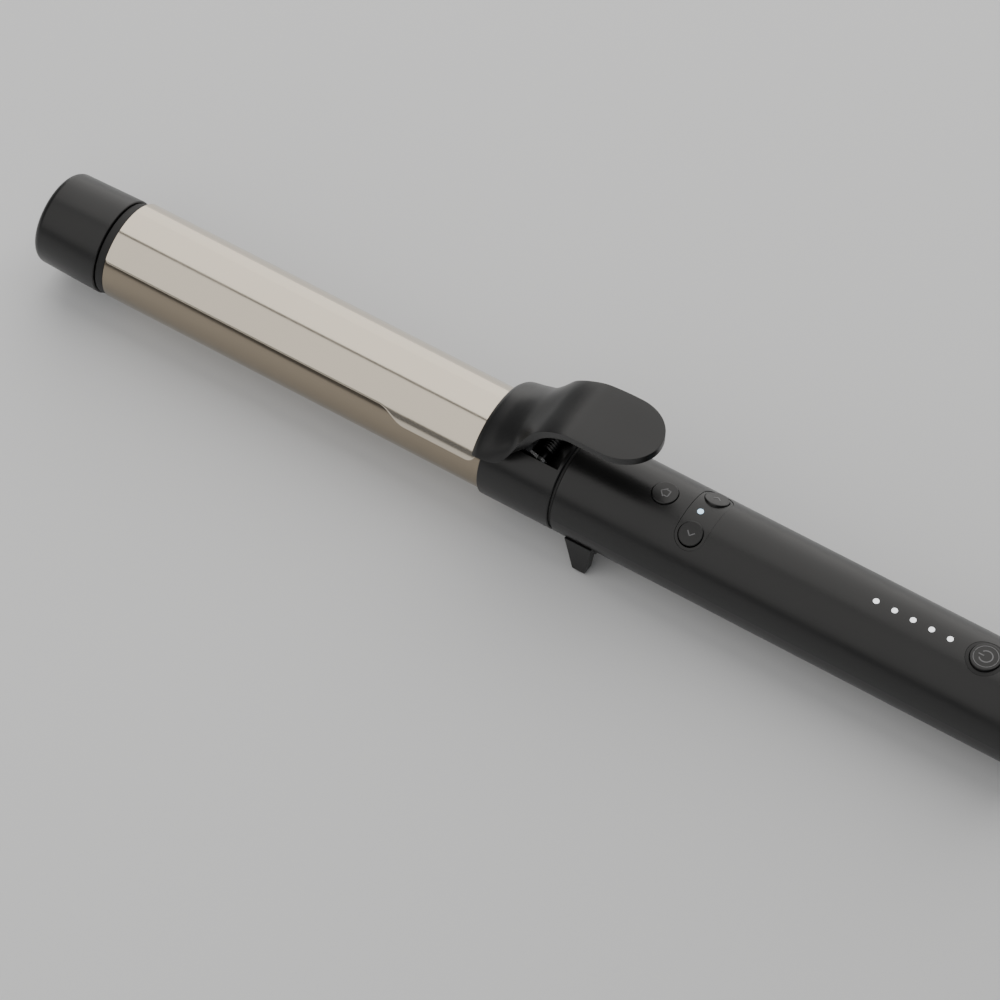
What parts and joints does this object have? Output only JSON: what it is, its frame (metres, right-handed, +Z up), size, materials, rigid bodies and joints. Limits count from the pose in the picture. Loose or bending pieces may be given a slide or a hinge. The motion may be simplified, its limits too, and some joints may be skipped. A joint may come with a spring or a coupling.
{
  "type": "curling iron",
  "caption": "Rotating curling iron: heated barrel with spring clamp and thumb lever, turning head, round handle with buttons and lights, small rest near the seam.",
  "frame": {"origin": "under the middle of the whole length, on the table the rest stands on", "axes": "+X along the barrel axis from the cool tip to the cord end, +Y to the far side, +Z up through the thumb lever"},
  "size_m": [0.3774, 0.036, 0.0604],
  "materials": {
    "black_plastic": "satin black, smooth moulded",
    "dark_plastic": "matt black",
    "champagne_metal": "champagne titanium-look coating, semi-gloss",
    "steel": "zinc-plated",
    "aluminium": "extruded",
    "brass": "machined",
    "copper": "copper alloy strip",
    "ceramic": "heat-resistant ceramic and silicone insulation",
    "circuit_board": "green solder mask",
    "board_blue": "moulded component cases",
    "switch_grey": "moulded",
    "carbon": "copper-graphite",
    "light_clear": "clear light pipe"
  },
  "bodies": {
    "handle": {"handle_shell_upper": "black_plastic", "handle_shell_lower": "black_plastic", "shell_screws": "steel", "seam_ring": "dark_plastic", "front_bush": "brass", "rear_bush": "brass", "gearbox_cover": "dark_plastic", "gearbox_housing": "dark_plastic", "motor_can": "steel", "motor_end_cap": "dark_plastic", "motor_screws": "steel", "brush_holder": "dark_plastic", "brushes": "carbon", "front_board": "circuit_board", "main_board": "circuit_board", "board_parts": "board_blue", "switch_carrier": "dark_plastic", "tact_switches": "switch_grey", "control_panel": "black_plastic", "panel_light": "light_clear", "indicator_lights": "light_clear", "stand": "black_plastic", "tail_cap": "black_plastic", "power_bezel": "dark_plastic"},
    "head": {"tip_cap": "black_plastic", "neck_ring": "dark_plastic", "barrel": "champagne_metal", "heat_spreader_upper": "aluminium", "heat_spreader_lower": "aluminium", "ptc_heater": "ceramic", "electrodes": "copper", "thermistor": "ceramic", "thermal_fuse": "steel", "heater_leads": "ceramic", "barrel_plug": "ceramic", "head_screws": "steel", "collar": "black_plastic", "hinge_pin": "steel", "torsion_spring": "steel", "spindle": "steel", "spindle_clip": "steel", "slip_sleeve": "dark_plastic", "slip_rings": "copper", "planet_carrier": "steel", "planet_pins": "steel"},
    "clamp": {"clamp_plate": "champagne_metal", "clamp_bracket": "steel", "clamp_rivets": "steel", "thumb_lever": "black_plastic"},
    "planet_1": {"planet_gear_1": "brass"},
    "planet_2": {"planet_gear_2": "brass"},
    "planet_3": {"planet_gear_3": "brass"},
    "motor_rotor": {"sun_gear": "brass", "motor_shaft": "steel"},
    "home_key": {"home_button": "black_plastic"},
    "arrow_key_near": {"arrow_button_near": "black_plastic"},
    "arrow_key_far": {"arrow_button_far": "black_plastic"},
    "power_key": {"power_button": "black_plastic"},
    "gland": {"cord_gland": "dark_plastic"}
  },
  "joints": [
    {"name": "head_spin", "type": "hinge", "parent": "handle", "child": "head", "pos_m": [0.0107, 0, 0.02125], "axis": [1, 0, 0], "continuous": true},
    {"name": "clamp_hinge", "type": "hinge", "parent": "head", "child": "clamp", "pos_m": [0.0007, 0, 0.03225], "axis": [0, -1, 0], "range_deg": [-20, 0], "stiffness_Nm_per_rad": 0.6, "springref_deg": 20.05},
    {"name": "planet_1_spin", "type": "hinge", "parent": "head", "child": "planet_1", "pos_m": [0.0107, 0, 0.01525], "axis": [1, 0, 0], "continuous": true},
    {"name": "planet_2_spin", "type": "hinge", "parent": "head", "child": "planet_2", "pos_m": [0.0107, 0.0052, 0.02425], "axis": [1, 0, 0], "continuous": true},
    {"name": "planet_3_spin", "type": "hinge", "parent": "head", "child": "planet_3", "pos_m": [0.0107, -0.0052, 0.02425], "axis": [1, 0, 0], "continuous": true},
    {"name": "motor_spin", "type": "hinge", "parent": "handle", "child": "motor_rotor", "pos_m": [0.0107, 0, 0.02125], "axis": [1, 0, 0], "continuous": true},
    {"name": "home_press", "type": "slide", "parent": "handle", "child": "home_key", "axis": [0, 0, -1], "range_m": [0, 0.0005], "stiffness_N_per_m": 900, "springref_m": -0.0004},
    {"name": "arrow_near_press", "type": "slide", "parent": "handle", "child": "arrow_key_near", "axis": [0, 0.4695, -0.8829], "range_m": [0, 0.0005], "stiffness_N_per_m": 900, "springref_m": -0.0004},
    {"name": "arrow_far_press", "type": "slide", "parent": "handle", "child": "arrow_key_far", "axis": [0, -0.4695, -0.8829], "range_m": [0, 0.0005], "stiffness_N_per_m": 900, "springref_m": -0.0004},
    {"name": "power_press", "type": "slide", "parent": "handle", "child": "power_key", "axis": [0, 0, -1], "range_m": [0, 0.0005], "stiffness_N_per_m": 900, "springref_m": -0.0004},
    {"name": "cord_swivel", "type": "hinge", "parent": "handle", "child": "gland", "pos_m": [0.1887, 0, 0.02125], "axis": [1, 0, 0], "continuous": true}
  ],
  "couplings": [
    {"joint": "planet_1_spin", "follows": "head_spin", "ratio": -3},
    {"joint": "planet_2_spin", "follows": "head_spin", "ratio": -3},
    {"joint": "planet_3_spin", "follows": "head_spin", "ratio": -3},
    {"joint": "motor_spin", "follows": "head_spin", "ratio": 4}
  ]
}
